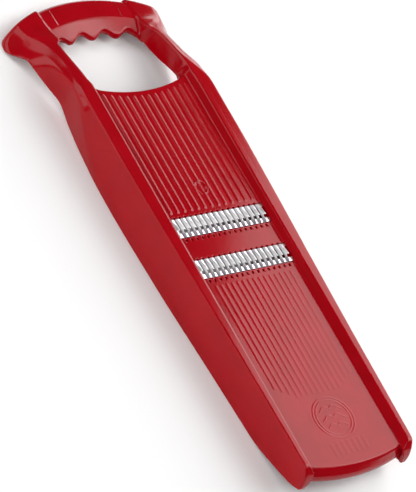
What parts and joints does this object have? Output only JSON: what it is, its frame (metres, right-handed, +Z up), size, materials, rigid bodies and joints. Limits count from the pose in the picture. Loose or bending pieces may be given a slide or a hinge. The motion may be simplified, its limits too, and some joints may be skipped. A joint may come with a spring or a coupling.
{
  "type": "mandoline slicer",
  "caption": "Hand-held shredding slicer: one-piece moulded runway frame with side rails and a looped finger grip, holding two corrugated steel blade strips.",
  "frame": {"origin": "on the table, under the middle of the object's bounding box", "axes": "+Z up from the table, +Y along the runway from the front lip towards the hand grip, +X across the runway"},
  "size_m": [0.142, 0.385, 0.03],
  "materials": {
    "moulded_plastic": "gloss",
    "blade_steel": "ground and stamped"
  },
  "bodies": {
    "root": {"frame": "moulded_plastic", "upper_blade_strip": "blade_steel", "lower_blade_strip": "blade_steel"}
  },
  "joints": []
}
